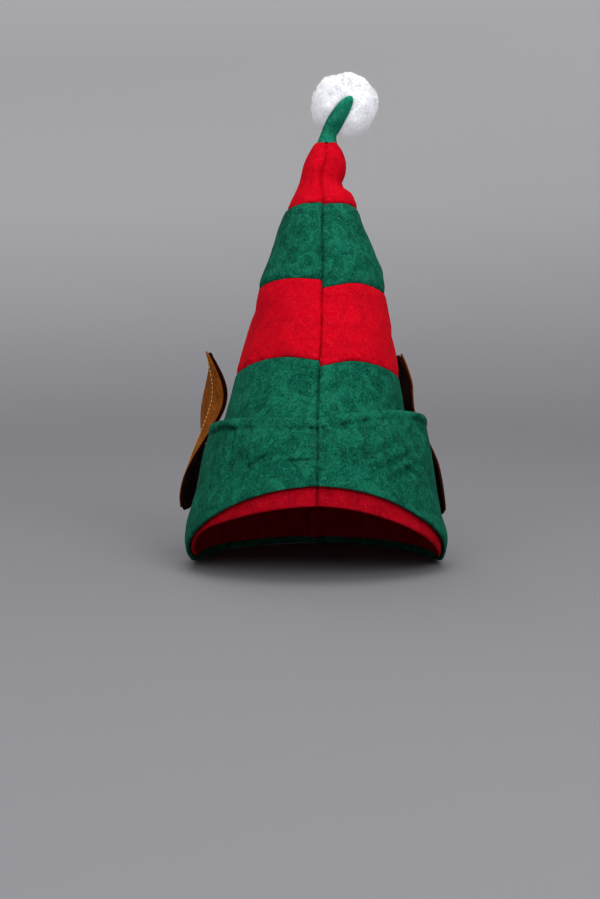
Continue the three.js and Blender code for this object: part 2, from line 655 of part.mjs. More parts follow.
// How far an ear moves outwards so that its inner face only just clears the cuff.
function earShift(ear, thickness) {
  let shift = -CROWN_WIDTH;
  for (let row = 0; row < EAR_ROWS.length - 1; row++) {
    for (let column = 0; column <= EAR_COLUMNS; column++) {
      const across = (2 * column) / EAR_COLUMNS - 1;
      const from = earPoint(ear, EAR_ROWS[row], across, thickness, EAR_MARGIN);
      const to = earPoint(ear, EAR_ROWS[row + 1], across, thickness, EAR_MARGIN);
      for (const part of [0, 0.33, 0.67]) {
        const own = from.clone().lerp(to, part);
        const { point, below } = cuffSpot(ear.hand, own.y, own.z);
        if (below >= 0) shift = Math.max(shift, Math.abs(point.x) + EAR_SEAT - Math.abs(own.x));
      }
    }
  }
  return shift;
}

function ears() {
  const meshes = [];
  const inner = EAR_TAN_FELT + EAR_LAYER_GAP;
  const thickness = inner + EAR_BROWN_FELT;
  const left = { name: "ear_left", hand: 1, lie: EAR_LIE_LEFT, foot: EAR_FOOT_LEFT, shift: 0 };
  const right = { name: "ear_right", hand: -1, lie: EAR_LIE_RIGHT, foot: EAR_FOOT_RIGHT, shift: 0 };
  for (const ear of [left, right]) {
    ear.shift = earShift(ear, thickness);
    meshes.push(meshOf(`${ear.name}_front`, earLayer(ear, 0, EAR_TAN_FELT, 0), FELT_TAN));
    meshes.push(meshOf(`${ear.name}_back`, earLayer(ear, inner, thickness, EAR_MARGIN), FELT_BROWN));
  }
  return meshes;
}

// Pompom

// A blunt tapered lock of plush along a direction, from inside the core to a distance from the middle.
function plushLock(way, reach) {
  const root = POMPOM_ROOT / 2;
  const lock = new THREE.CylinderGeometry(POMPOM_LOCK_TIP, POMPOM_LOCK_WIDTH, reach - root, 5, 1);
  lock.translate(0, (reach + root) / 2, 0);
  return lock.applyQuaternion(new THREE.Quaternion().setFromUnitVectors(new THREE.Vector3(0, 1, 0), way));
}

// Directions spread evenly over a ball.
function spreadWays(count) {
  const golden = Math.PI * (3 - Math.sqrt(5));
  return Array.from({ length: count }, (_, i) => {
    const high = 1 - (2 * (i + 0.5)) / count;
    const round = Math.sqrt(1 - high ** 2);
    return new THREE.Vector3(round * Math.cos(i * golden), round * Math.sin(i * golden), high);
  });
}

// Whether a lock that grows from the pompom's middle would run into the tip.
function meetsTip(middle, way, length) {
  return TIP_SECTIONS.some((row) => {
    const spot = tipCentre(row.up).sub(middle);
    const near = way.clone().multiplyScalar(THREE.MathUtils.clamp(spot.dot(way), 0, length));
    return near.distanceTo(spot) < TIP_WIDTH / 2 + POMPOM_CLEARANCE;
  });
}

function pompom() {
  const offset = new THREE.Vector3(POMPOM_SIDE, POMPOM_BACK, POMPOM_DROP);
  const middle = tipCentre(1).add(offset.multiplyScalar(POMPOM_DIAMETER));
  let plush = manifoldOf(new THREE.IcosahedronGeometry(POMPOM_CORE / 2, 1));
  spreadWays(POMPOM_LOCKS).forEach((way, i) => {
    const reach = (POMPOM_DIAMETER / 2) * (1 - POMPOM_UNEVEN * (0.5 + 0.5 * Math.sin(i * 2.3)));
    if (!meetsTip(middle, way, reach)) plush = plush.add(manifoldOf(plushLock(way, reach)));
  });
  const placed = plush.translate(middle.toArray()).subtract(manifoldOf(tipRoom(POMPOM_CLEARANCE)));
  return meshOf("pompom", geometryFrom(placed), PLUSH_WHITE);
}

// The whole hat, moved so that the origin is the middle of the foot of its box

const hat = new THREE.Group();
hat.add(...crown(), meshOf("crown_tip", tipGeometry(), FELT_GREEN), ...cuff(), ...ears(), pompom());
const box = new THREE.Box3().setFromObject(hat);
const foot = box.getCenter(new THREE.Vector3()).setZ(box.min.z);
for (const mesh of hat.children) mesh.geometry.translate(-foot.x, -foot.y, -foot.z);

export default hat;
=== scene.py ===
import math
import random

import bmesh
import bpy
import numpy as np
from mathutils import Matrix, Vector
from mathutils.bvhtree import BVHTree
from mathutils.kdtree import KDTree


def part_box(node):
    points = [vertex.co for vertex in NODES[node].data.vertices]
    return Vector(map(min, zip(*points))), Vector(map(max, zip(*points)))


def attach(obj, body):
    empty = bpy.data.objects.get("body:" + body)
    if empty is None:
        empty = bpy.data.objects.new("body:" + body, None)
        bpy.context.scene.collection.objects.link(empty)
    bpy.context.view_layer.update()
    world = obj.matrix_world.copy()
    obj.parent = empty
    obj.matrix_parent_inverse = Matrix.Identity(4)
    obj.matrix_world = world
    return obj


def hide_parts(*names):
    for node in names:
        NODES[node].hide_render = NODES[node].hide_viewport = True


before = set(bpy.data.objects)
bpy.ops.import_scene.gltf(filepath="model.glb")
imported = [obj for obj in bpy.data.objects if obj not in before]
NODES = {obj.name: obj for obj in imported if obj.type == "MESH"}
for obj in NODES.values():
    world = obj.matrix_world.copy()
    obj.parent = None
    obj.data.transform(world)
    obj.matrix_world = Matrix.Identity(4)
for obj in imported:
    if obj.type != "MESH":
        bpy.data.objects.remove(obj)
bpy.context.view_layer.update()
MM = 0.001

SIDES = ("left", "right")
STRIPES = ("crown_red_rim", "crown_green_base", "crown_red_lower", "crown_green_middle", "crown_red_upper")

# Seams: the gap that the two panels close, how far an upright edge presses into the next one, its groove,
# the allowance turned in behind, and how near two corners are that count as one
SEAM_GAP = 0.3 * MM
SEAM_LAP = 0.15 * MM
SEAM_DEPTH = 1.5 * MM
SEAM_WIDTH = 0.9 * MM
ALLOWANCE = 5 * MM
ALLOWANCE_SHARE = 0.25
NEARLY_NONE = 0.02 * MM

# How sharp the edges of a seam stay: outside, inside an upright one, and at the foot of the tip
SOFT_EDGE = 0.3
TIGHT_EDGE = 1.0
FOOT_EDGE = 0.6

# Rounds of smoothing after the subdivision, for an even curve, and how high the floor presses the felt flat
EVENING = 4
SETTLING = 6 * MM

# Wrinkles pressed into the felt: wavelength and height of each layer
WRINKLES = ((30 * MM, 0.7 * MM), (12 * MM, 0.4 * MM), (4.5 * MM, 0.13 * MM))

# Puckers where the felt is drawn in along a line of stitches
PUCKER_WAVE = 7 * MM
PUCKER_HEIGHT = 0.45 * MM
PUCKER_REACH = 7 * MM

# Hem of the cuff: the groove that its stitches draw in, and the roll of felt that far above it
GROOVE_DEPTH = 2.2 * MM
GROOVE_WIDTH = 1.1 * MM
ROLL_HEIGHT = 1.2 * MM
ROLL_WIDTH = 2.6 * MM
ROLL_ABOVE = 3.8 * MM

# Folds and dents: turn from the front towards the left in degrees, height above the foot, slope from
# level in degrees, half length, half width and rise, in millimetres
CROWN_FOLDS = (
    (-12, 116, 82, 10, 3.6, -1.5),
    (12, 117, 98, 10, 3.2, -1.5),
    (21, 119, 75, 6, 4.0, -1.1),
    (-24, 121, 60, 9, 4.0, 0.9),
    (35, 110, -20, 12, 3.5, -0.9),
    (-42, 213, 30, 12, 4.0, -1.5),
    (-30, 205, 35, 11, 3.5, 0.9),
    (38, 222, -25, 9, 3.5, -1.0),
    (24, 200, 15, 8, 3.0, -0.6),
    (9, 188, 5, 6, 2.2, -0.8),
    (-8, 160, 80, 14, 4.5, -0.7),
    (30, 165, 60, 12, 5.0, 0.7),
    (6, 262, 84, 13, 2.6, -0.7),
    (-20, 258, 75, 12, 2.4, 0.5),
    (95, 150, 25, 16, 4.5, -1.4),
    (110, 190, -20, 14, 4.5, 1.2),
    (-100, 170, -25, 16, 4.5, -1.4),
    (-120, 130, 20, 16, 5.0, 1.2),
    (150, 160, 75, 14, 4.5, -1.2),
    (-160, 200, 70, 12, 4.0, -1.0),
)
CUFF_FOLDS = (
    (31, 84, 25, 11, 3.2, -1.7),
    (41, 76, 11, 17, 2.6, -1.5),
    (40, 81, 16, 15, 2.6, 0.9),
    (45, 69, 14, 15, 2.8, -1.4),
    (47, 63, 17, 15, 3.0, 0.8),
    (56, 88, -30, 9, 3.0, -1.0),
    (14, 97, -8, 8, 2.6, -1.2),
    (-38, 66, -14, 16, 4.0, -0.7),
    (-25, 84, 12, 14, 4.0, 0.6),
    (-62, 78, 35, 14, 4.0, -0.9),
    (105, 45, -30, 20, 5.0, -1.2),
    (-110, 50, 28, 20, 5.0, -1.2),
    (150, 60, 20, 20, 5.0, -1.3),
    (-155, 45, -22, 20, 5.0, -1.3),
    (178, 75, 80, 14, 4.0, -1.0),
)

TIP_FOLDS = (
    (15, 294, 60, 9, 1.0, -1.6),
    (-35, 296, 62, 10, 1.2, 0.8),
    (70, 300, 70, 9, 1.2, 0.7),
    (160, 300, 110, 10, 1.3, -1.0),
)

# Crease that the stitches pull up along each ear, the corner of each row that they go through, and how much
# shorter the brown layer's point is
CREASE_HEIGHT = {"left": 0.5 * MM, "right": 3.2 * MM}
CREASE_WIDTH = 14 * MM
CREST_CORNER = {"left": 6, "right": 4}
POINT_TRIM = 2.6 * MM
POINT_REACH = 28 * MM

# How far the foot of the tip laps down over the crown, and stands off it
TIP_LAP = 1.1 * MM
TIP_LAP_OUT = 0.35 * MM

# Stitches
THREAD_WIDTH = 0.45 * MM
HEM_PITCH = 3.4 * MM
HEM_LENGTH = 2.4 * MM
EAR_PITCH = 2.9 * MM
EAR_LENGTH = 2.5 * MM
EAR_THREAD_WIDTH = 0.8 * MM

# Plush of the pompom
PLUSH_FIBRES = 15000
PLUSH_LENGTH = 2.4 * MM
PLUSH_WIDTH = 0.4 * MM
PLUSH_TUFTS = 190
PLUSH_SINK = 1.0 * MM
PLUSH_LUMPS = ((8 * MM, 0.7 * MM), (3 * MM, 0.2 * MM))
PLUSH_GLOW = 7 * MM
# Strength of the plush's faint white emission: painted light, a glow that brightens it
PLUSH_PAINTED_LIGHT = 0.32

# Camera: where the photograph was taken from
EYE = (-0.00869, -1.48682, 0.23272)
PITCH = 6.02
FOCAL_PIXELS = 2272.7
IMAGE_HEIGHT = 899
SENSOR = 36


# Colours and nodes

def linear(code):
    """An sRGB hex colour as linear red, green, blue and alpha."""
    channels = [int(code[i:i + 2], 16) / 255 for i in (1, 3, 5)]
    return [c / 12.92 if c <= 0.04045 else ((c + 0.055) / 1.055) ** 2.4 for c in channels] + [1.0]


def add(tree, kind, settings=None, **links):
    """A node of that kind with its settings. Each input is set to a value or linked to an output.

    An input is named with _ for each space, or as i and its number."""
    node = tree.nodes.new(kind)
    for name, value in (settings or {}).items():
        setattr(node, name, value)
    for name, value in links.items():
        socket = node.inputs[int(name[1:]) if name[1:].isdigit() else name.replace("_", " ")]
        if isinstance(value, bpy.types.NodeSocket):
            tree.links.new(value, socket)
        else:
            socket.default_value = value
    return node


def ramp(tree, factor, *stops):
    """A colour ramp through (place, hex colour) stops."""
    node = add(tree, "ShaderNodeValToRGB", Fac=factor)
    marks = node.color_ramp.elements
    while len(marks) < len(stops):
        marks.new(0.5)
    for mark, (place, code) in zip(marks, stops):
        mark.position = place
        mark.color = linear(code)
    return node.outputs["Color"]


def new_material(name):
    material = bpy.data.materials.new(name)
    material.use_nodes = True
    material.node_tree.nodes.clear()
    return material, material.node_tree


def cloud(tree, place, size, detail, roughness, distortion=0.0):
    """Soft noise whose patches are about that size across."""
    made = add(tree, "ShaderNodeTexNoise", Vector=place, Scale=1 / size, Detail=detail, Roughness=roughness,
               Distortion=distortion)
    return made.outputs["Fac"]


def felt(name, dark, base, light, fleck, sheen, seed):
    """Needled polyester felt: matte and mottled, with pale loose fibres that catch the light at its edges."""
    material, tree = new_material(name)
    place = add(tree, "ShaderNodeTexCoord").outputs["Object"]
    place = add(tree, "ShaderNodeMapping", Vector=place, Location=(seed, seed * 0.7, -seed)).outputs["Vector"]
    # Thick and thin places of the batt, 9 mm and 1.6 mm across
    thick = cloud(tree, place, 9 * MM, 4.0, 0.6, 0.8)
    mottle = cloud(tree, place, 1.6 * MM, 4.0, 0.7, 0.2)
    # Matted fibres, drawn three times as wide as the real ones so that they show, and bent on the way
    bend = add(tree, "ShaderNodeTexNoise", Vector=place, Scale=1 / (5 * MM), Detail=2.0).outputs["Color"]
    bent = add(tree, "ShaderNodeVectorMath", {"operation": "MULTIPLY_ADD"}, i0=bend,
               i1=(0.012, 0.012, 0.012), i2=place).outputs[0]
    strands = None
    for turn, stretch in ((0.5, 0.3), (-0.9, 0.3), (1.8, 0.35)):
        lie = add(tree, "ShaderNodeMapping", Vector=bent, Rotation=(0.3 * turn, turn, 0.6 * turn),
                  Scale=(1.0, 1.0, stretch)).outputs["Vector"]
        fibre = cloud(tree, lie, 0.65 * MM, 2.0, 0.55)
        if strands:
            fibre = add(tree, "ShaderNodeMath", {"operation": "MAXIMUM"}, i0=strands, i1=fibre).outputs[0]
        strands = fibre
    tone = add(tree, "ShaderNodeMix", {"data_type": "FLOAT"}, Factor=0.5, A=thick, B=mottle).outputs["Result"]
    body = ramp(tree, tone, (0.42, dark), (0.5, base), (0.59, light))
    loose = add(tree, "ShaderNodeMapRange", Value=strands, From_Min=0.58, From_Max=0.8,
                To_Max=0.7).outputs["Result"]
    colour = add(tree, "ShaderNodeMix", {"data_type": "RGBA"}, i0=loose, i6=body, i7=linear(fleck)).outputs[2]
    relief = add(tree, "ShaderNodeMath", {"operation": "MULTIPLY_ADD"},
                 i0=mottle, i1=1.1, i2=strands).outputs[0]
    bump = add(tree, "ShaderNodeBump", Strength=0.7, Distance=0.3 * MM, Height=relief).outputs["Normal"]
    shader = add(tree, "ShaderNodeBsdfPrincipled", Base_Color=colour, Roughness=0.95, IOR=1.5, Normal=bump,
                 Specular_IOR_Level=0.03, Sheen_Weight=sheen[0], Sheen_Roughness=0.5,
                 Sheen_Tint=linear(sheen[1]))
    add(tree, "ShaderNodeOutputMaterial", Surface=shader.outputs["BSDF"])
    return material


def thread(name, base, light):
    """Spun polyester sewing thread: a low sheen with the turns of its twist, 0.5 mm apart."""
    material, tree = new_material(name)
    place = add(tree, "ShaderNodeTexCoord").outputs["Object"]
    twist = cloud(tree, place, 0.5 * MM, 1.0, 0.5)
    colour = ramp(tree, twist, (0.35, base), (0.65, light))
    bump = add(tree, "ShaderNodeBump", Strength=0.5, Distance=0.1 * MM, Height=twist).outputs["Normal"]
    shader = add(tree, "ShaderNodeBsdfPrincipled", Base_Color=colour, Roughness=0.6, IOR=1.5, Normal=bump,
                 Specular_IOR_Level=0.3)
    add(tree, "ShaderNodeOutputMaterial", Surface=shader.outputs["BSDF"])
    return material


def plush(name, low, high, glow):
    """White polyester plush: bright fibres that pass light on to each other, a little greyer here and there.

    A faint white emission is painted light that brightens it on every side."""
    material, tree = new_material(name)
    place = add(tree, "ShaderNodeTexCoord").outputs["Object"]
    colour = ramp(tree, cloud(tree, place, 5 * MM, 3.0, 0.6), (0.38, low), (0.6, high))
    # The emission is painted light: the plush glows a faint white of its own
    shader = add(tree, "ShaderNodeBsdfPrincipled", Base_Color=colour, Roughness=0.7, IOR=1.5,
                 Specular_IOR_Level=0.2, Sheen_Weight=0.3, Sheen_Roughness=0.4, Subsurface_Weight=glow,
                 Subsurface_Radius=(1.0, 1.0, 1.0), Subsurface_Scale=PLUSH_GLOW,
                 Emission_Color=linear("#f4f6ff"), Emission_Strength=PLUSH_PAINTED_LIGHT)
    add(tree, "ShaderNodeOutputMaterial", Surface=shader.outputs["BSDF"])
    return material


def studio_paper(name):
    """Seamless background paper: matte, with painted light and shade that make it darker at its foot than
    higher up.
    """
    material, tree = new_material(name)
    place = add(tree, "ShaderNodeTexCoord").outputs["Object"]
    high = add(tree, "ShaderNodeSeparateXYZ", Vector=place).outputs["Z"]
    painted_light_grade = add(tree, "ShaderNodeMapRange", Value=high, From_Min=0.0, From_Max=1.0).outputs["Result"]
    # Painted light and shade: the colour grows lighter with height above the floor
    colour = ramp(tree, painted_light_grade, (0.0, "#7c7c80"), (0.03, "#87878b"), (0.1, "#99999c"), (0.24, "#b2b2b4"),
                  (0.6, "#cfcfd2"))
    shader = add(tree, "ShaderNodeBsdfPrincipled", Base_Color=colour, Roughness=0.95, Specular_IOR_Level=0.1)
    add(tree, "ShaderNodeOutputMaterial", Surface=shader.outputs["BSDF"])
    return material


# Places on the hat

def box_of(names):
    """Lowest and highest corners of some nodes together."""
    lows, highs = zip(*(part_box(name) for name in names))
    return Vector(map(min, *lows)), Vector(map(max, *highs))


# The middle line of the crown, through the middles of its stripes, and straight on past both ends
MIDDLE_LINE = []
for stripe in STRIPES:
    low, high = box_of([f"{stripe}_{side}" for side in SIDES])
    MIDDLE_LINE.append((low + high) / 2)
MIDDLE_LINE.insert(0, MIDDLE_LINE[0].lerp(MIDDLE_LINE[1], -1.0))
MIDDLE_LINE.append(MIDDLE_LINE[-2].lerp(MIDDLE_LINE[-1], 3.0))
MIDDLE_LINE = np.array(MIDDLE_LINE)


def middle_at(z):
    """The crown's middle at a height, on the line through its stripes' middles."""
    return Vector([np.interp(z, MIDDLE_LINE[:, 2], MIDDLE_LINE[:, k]) for k in range(3)])


def outwards(spot):
    """The level way out from the crown's middle line."""
    return (spot - middle_at(spot.z)).normalized()


def all_outwards(places):
    """The level ways out from the crown's middle line, for an array of places."""
    ways = np.zeros_like(places)
    for k in (0, 1):
        ways[:, k] = places[:, k] - np.interp(places[:, 2], MIDDLE_LINE[:, 2], MIDDLE_LINE[:, k])
    return ways / np.linalg.norm(ways, axis=1)[:, None]


def soft_noise(places, size, seed):
    """Soft noise from -1 to 1 at an array of places, in patches about that size across."""
    cells = places / size + seed * np.array([17.3, 9.1, 5.7])
    base = np.floor(cells)
    part = cells - base
    ease = part ** 3 * (part * (part * 6 - 15) + 10)
    total = np.zeros(len(places))
    for corner in np.ndindex(2, 2, 2):
        mixed = np.sin((base + corner) @ np.array([127.1, 311.7, 74.7])) * 43758.5453
        share = np.prod(np.where(np.array(corner), ease, 1 - ease), axis=1)
        total += (2 * (mixed - np.floor(mixed)) - 1) * share
    return total


def away_from(tree, places):
    """How far each place lies from the nearest point of a tree."""
    return np.array([tree.find(place)[2] for place in places])


def corners_of(mesh):
    places = np.empty(len(mesh.vertices) * 3)
    mesh.vertices.foreach_get("co", places)
    return places.reshape(-1, 3)


def place_corners(mesh, places):
    mesh.vertices.foreach_set("co", places.ravel())
    mesh.update()


def points_along(line, step):
    """Points at equal steps along a run of points, with the way that the line goes at each."""
    lengths = [(b - a).length for a, b in zip(line, line[1:])]
    count = max(1, round(sum(lengths) / step))
    found = []
    i, gone = 0, 0.0
    for k in range(count + 1):
        at = sum(lengths) * k / count
        while i < len(lengths) - 1 and gone + lengths[i] < at:
            gone += lengths[i]
            i += 1
        way = (line[i + 1] - line[i]).normalized()
        found.append((line[i] + way * (at - gone), way))
    return found


def tree_of(points):
    tree = KDTree(max(1, len(points)))
    for i, point in enumerate(points):
        tree.insert(point, i)
    tree.balance()
    return tree


# Meshes

def new_object(name, mesh, material):
    mesh.materials.clear()
    mesh.materials.append(material)
    for face in mesh.polygons:
        face.use_smooth = True
    thing = bpy.data.objects.new(name, mesh)
    bpy.context.scene.collection.objects.link(thing)
    return thing


def applied(thing):
    """The object with its modifiers worked into its mesh."""
    graph = bpy.context.evaluated_depsgraph_get()
    graph.update()
    mesh = bpy.data.meshes.new_from_object(thing.evaluated_get(graph))
    thing.modifiers.clear()
    old, thing.data = thing.data, mesh
    bpy.data.meshes.remove(old)
    return thing


def worn(piece, slot, *nodes):
    """The finished piece on the hat, in place of its nodes."""
    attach(piece, "root")
    if nodes:
        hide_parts(*nodes)
    return piece


def quad_form(node):
    """The node's form with its corners joined and its triangles paired into quads."""
    work = bmesh.new()
    work.from_mesh(NODES[node].data)
    bmesh.ops.remove_doubles(work, verts=work.verts, dist=0.005 * MM)
    bmesh.ops.join_triangles(work, faces=work.faces, angle_face_threshold=math.pi / 2,
                             angle_shape_threshold=math.pi)
    work.normal_update()
    return work


def seam_of(face, node):
    """The way that a panel's edge face looks across a seam, or None on its faces and free edges."""
    out = outwards(face.calc_center_median())
    if abs(face.normal.dot(out)) > 0.55:
        return None
    if abs(face.normal.x) > 0.8 and node != "crown_tip":
        return Vector((math.copysign(1, face.normal.x), 0, 0))
    if not node.startswith("crown") or abs(face.normal.z) < 0.6:
        return None
    if node.startswith("crown_red_rim") and face.normal.z < 0:
        return None
    if node == "crown_tip" and face.calc_center_median().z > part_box(node)[0][2] + 3 * MM:
        return None
    return face.normal.copy()


def close_seams(work, node):
    """Draws a panel's edges on to its neighbours.

    Gives its edge faces, the lines of its outer face along them, and those of the upright seams again."""
    ways = {}
    flanks = {}
    for face in work.faces:
        way = seam_of(face, node)
        if way is None:
            continue
        flanks[face] = abs(way.x) == 1
        for vertex in face.verts:
            kept = ways.setdefault(vertex, [])
            if all(way.dot(other) < 0.8 for other in kept):
                kept.append(way)
    lines, upright = [], []
    for face, stands in flanks.items():
        for edge in face.edges:
            other = next((f for f in edge.link_faces if f is not face), None)
            if other and other not in flanks and other.normal.dot(outwards(other.calc_center_median())) > 0.5:
                line = [v.co.copy() for v in edge.verts]
                lines.append(line)
                if stands:
                    upright.append(line)
    for vertex, kept in ways.items():
        for way in kept:
            vertex.co += way * (SEAM_GAP / 2 + (SEAM_LAP if abs(way.x) == 1 else 0))
    return flanks, lines, upright


def gather_seams(work, node, every, upright):
    """Closes a panel's seams, and adds points along their lines to the two lists."""
    _, lines, standing = close_seams(work, node)
    for line in lines:
        every.extend(point for point, _ in points_along(line, 2 * MM))
    for line in standing:
        upright.extend(point for point, _ in points_along(line, 0.5 * MM))


def turn_in_allowance(work, node):
    """The panel with the felt of its seams turned in behind them, as the allowance of the sewn edge.

    A spot where that would leave the mesh open keeps its plain edge."""
    plain = []
    for _ in range(5):
        trial = work.copy()
        flanks = {face for face in trial.faces if seam_of(face, node)}
        beside = {edge for face in flanks for edge in face.edges}
        inner = []
        for face in trial.faces:
            if face in flanks or beside.isdisjoint(face.edges):
                continue
            faces_in = face.normal.dot(outwards(face.calc_center_median())) < -0.3
            if faces_in and all((v.co - spot).length > NEARLY_NONE for v in face.verts for spot in plain):
                inner.append(face)
        made = bmesh.ops.extrude_face_region(trial, geom=inner)
        bmesh.ops.delete(trial, geom=[face for face in inner if face.is_valid], context="FACES")
        broken = [edge for edge in trial.edges if not edge.is_manifold]
        if not broken:
            break
        plain.extend(vertex.co.copy() for edge in broken for vertex in edge.verts)
        trial.free()
    else:
        return work
    for part in made["geom"]:
        if isinstance(part, bmesh.types.BMVert):
            middle = middle_at(part.co.z)
            depth = min(ALLOWANCE, ALLOWANCE_SHARE * (part.co - middle).length)
            part.co -= outwards(part.co) * depth
    bmesh.ops.recalc_face_normals(trial, faces=trial.faces)
    work.free()
    return trial


def rounded(work, name, material, rounds, sharp=None):
    """The form as an object, smoothed by subdivision. sharp gives a share to each edge that stays sharper."""
    sharp = sharp or {}
    layer = work.edges.layers.float.new("crease_edge")
    group = work.verts.layers.deform.verify()
    work.edges.ensure_lookup_table()
    for number, share in sharp.items():
        work.edges[number][layer] = share
    for vertex in work.verts:
        vertex[group][0] = 1 - max(sharp.get(edge.index, 0.0) for edge in vertex.link_edges)
    mesh = bpy.data.meshes.new(name)
    work.to_mesh(mesh)
    work.free()
    piece = new_object(name, mesh, material)
    piece.vertex_groups.new(name="soft")
    rounding = piece.modifiers.new("rounding", "SUBSURF")
    rounding.levels = rounding.render_levels = rounds
    evening = piece.modifiers.new("evening", "SMOOTH")
    evening.factor = 0.5
    evening.iterations = EVENING
    evening.vertex_group = "soft"
    return applied(piece)


def sharp_seams(work, node):
    """How sharp the edges of a panel's seams stay: an upright one is soft outside and closes tight inside."""
    sharp = {}
    work.edges.index_update()
    for face in work.faces:
        way = seam_of(face, node)
        if way is None:
            continue
        for edge in face.edges:
            others = [f for f in edge.link_faces if f is not face]
            outside = any(f.normal.dot(outwards(f.calc_center_median())) > 0.5 for f in others)
            share = SOFT_EDGE if outside or abs(way.x) != 1 else TIGHT_EDGE
            sharp[edge.index] = max(sharp.get(edge.index, 0.0), share)
    return sharp


def settle(piece):
    """Brings a piece's lowest edge down on to the floor."""
    places = corners_of(piece.data)
    places[:, 2] -= places[:, 2].min() * np.exp(-(places[:, 2] / SETTLING) ** 2)
    place_corners(piece.data, places)


def fold_lift(places, folds):
    """How far a table of soft folds lifts an array of places."""
    ways = all_outwards(places)
    turns = np.arctan2(ways[:, 0], -ways[:, 1])
    reach = np.array([np.interp(places[:, 2], MIDDLE_LINE[:, 2], MIDDLE_LINE[:, k]) for k in (0, 1)]).T
    reach = np.linalg.norm(places[:, :2] - reach, axis=1)
    lift = np.zeros(len(places))
    for turn, high, slope, long, wide, rise in folds:
        apart = turns - math.radians(turn)
        across = np.arctan2(np.sin(apart), np.cos(apart)) * reach / MM
        above = places[:, 2] / MM - high
        lean = math.radians(slope)
        run = (across * math.cos(lean) + above * math.sin(lean)) / long
        off = (above * math.cos(lean) - across * math.sin(lean)) / wide
        lift += rise * MM * np.exp(-run ** 2 - off ** 2)
    return lift


def crumple(piece, seams=None, share=1.0, folds=()):
    """Presses folds and wrinkles into a felt piece, alike through its thickness, with puckers at its seams."""
    places = corners_of(piece.data)
    lift = sum(high * soft_noise(places, wide, i + 1) for i, (wide, high) in enumerate(WRINKLES))
    lift += fold_lift(places, folds)
    if seams:
        wave = soft_noise(places * (1, 1, 1.4), PUCKER_WAVE / 2, 9)
        lift += PUCKER_HEIGHT * wave * np.exp(-(away_from(seams, places) / PUCKER_REACH) ** 2)
    place_corners(piece.data, places + all_outwards(places) * (lift * share)[:, None])


def outside_of(piece, ways):
    """Which corners lie on the outside of a piece."""
    normals = np.empty(len(ways) * 3)
    piece.data.vertices.foreach_get("normal", normals)
    return (normals.reshape(-1, 3) * ways).sum(1) > 0.2


def press_seam(piece, line):
    """Draws the outside of a panel in along its upright seams."""
    places = corners_of(piece.data)
    ways = all_outwards(places)
    groove = np.exp(-(away_from(line, places) / SEAM_WIDTH) ** 2) * outside_of(piece, ways)
    place_corners(piece.data, places - ways * (SEAM_DEPTH * groove)[:, None])


def press_hem(piece, line):
    """Draws the outside of the cuff in along its line of stitches, and rolls the felt above it."""
    places = corners_of(piece.data)
    ways = all_outwards(places)
    outside = outside_of(piece, ways)
    uneven = 1 + 0.7 * soft_noise(places, 20 * MM, 6)
    groove = np.exp(-(away_from(line, places) / GROOVE_WIDTH) ** 2) * uneven
    roll = np.exp(-(away_from(line, places - (0, 0, ROLL_ABOVE)) / ROLL_WIDTH) ** 2)
    level = np.clip(np.abs(ways[:, 1]) * 2 - 0.45, 0.15, 1)
    lift = (ROLL_HEIGHT * roll - GROOVE_DEPTH * groove) * outside * level
    place_corners(piece.data, places + ways * lift[:, None])


def pull_crease(piece, line, side):
    """Pulls an ear layer outwards along its line of stitches."""
    places = corners_of(piece.data)
    share = np.maximum(0, 1 - away_from(line, places) / CREASE_WIDTH)
    places[:, 0] += (1 if side == "left" else -1) * CREASE_HEIGHT[side] * share ** 1.2
    place_corners(piece.data, places)


def trim_point(piece):
    """Draws an ear layer's point in."""
    places = corners_of(piece.data)
    top = places[:, 2].max()
    share = np.clip(1 - (top - places[:, 2]) / POINT_REACH, 0, 1)
    places[:, 2] -= POINT_TRIM * share ** 2
    place_corners(piece.data, places)


def stitches(name, line, length, width, material, lift):
    """Short bowed threads along a line of (place, way, way out)."""
    mesh = bpy.data.meshes.new(name)
    work = bmesh.new()
    sides = 6
    for place, way, out in line:
        across = way.cross(out).normalized()
        out = across.cross(way).normalized()
        rings = []
        for k in range(7):
            along = k / 6
            bow = math.sin(math.pi * along)
            centre = place + way * (along - 0.5) * length + out * (bow * lift - width * 0.25)
            size = width / 2 * (0.35 + 0.65 * bow ** 0.5)
            ring = [work.verts.new(centre + across * size * math.cos(a) + out * size * math.sin(a))
                    for a in (2 * math.pi * s / sides for s in range(sides))]
            rings.append(ring)
        for low, high in zip(rings, rings[1:]):
            for s in range(sides):
                work.faces.new((low[s], low[(s + 1) % sides], high[(s + 1) % sides], high[s]))
        work.faces.new(rings[0][::-1])
        work.faces.new(rings[-1])
    bmesh.ops.recalc_face_normals(work, faces=work.faces)
    work.to_mesh(mesh)
    work.free()
    return new_object(name, mesh, material)


def surface_tree(piece):
    """A tree of a piece's faces, for finding the nearest one."""
    corners = [v.co.copy() for v in piece.data.vertices]
    return BVHTree.FromPolygons(corners, [list(face.vertices) for face in piece.data.polygons])


def laid_on(tree, places):
    """The places and ways of a line of stitches, moved on to the outside of the felt."""
    found = []
    for place, way in places:
        spot, normal, _, _ = tree.find_nearest(place)
        found.append((spot, way, normal))
    return found


# Crown

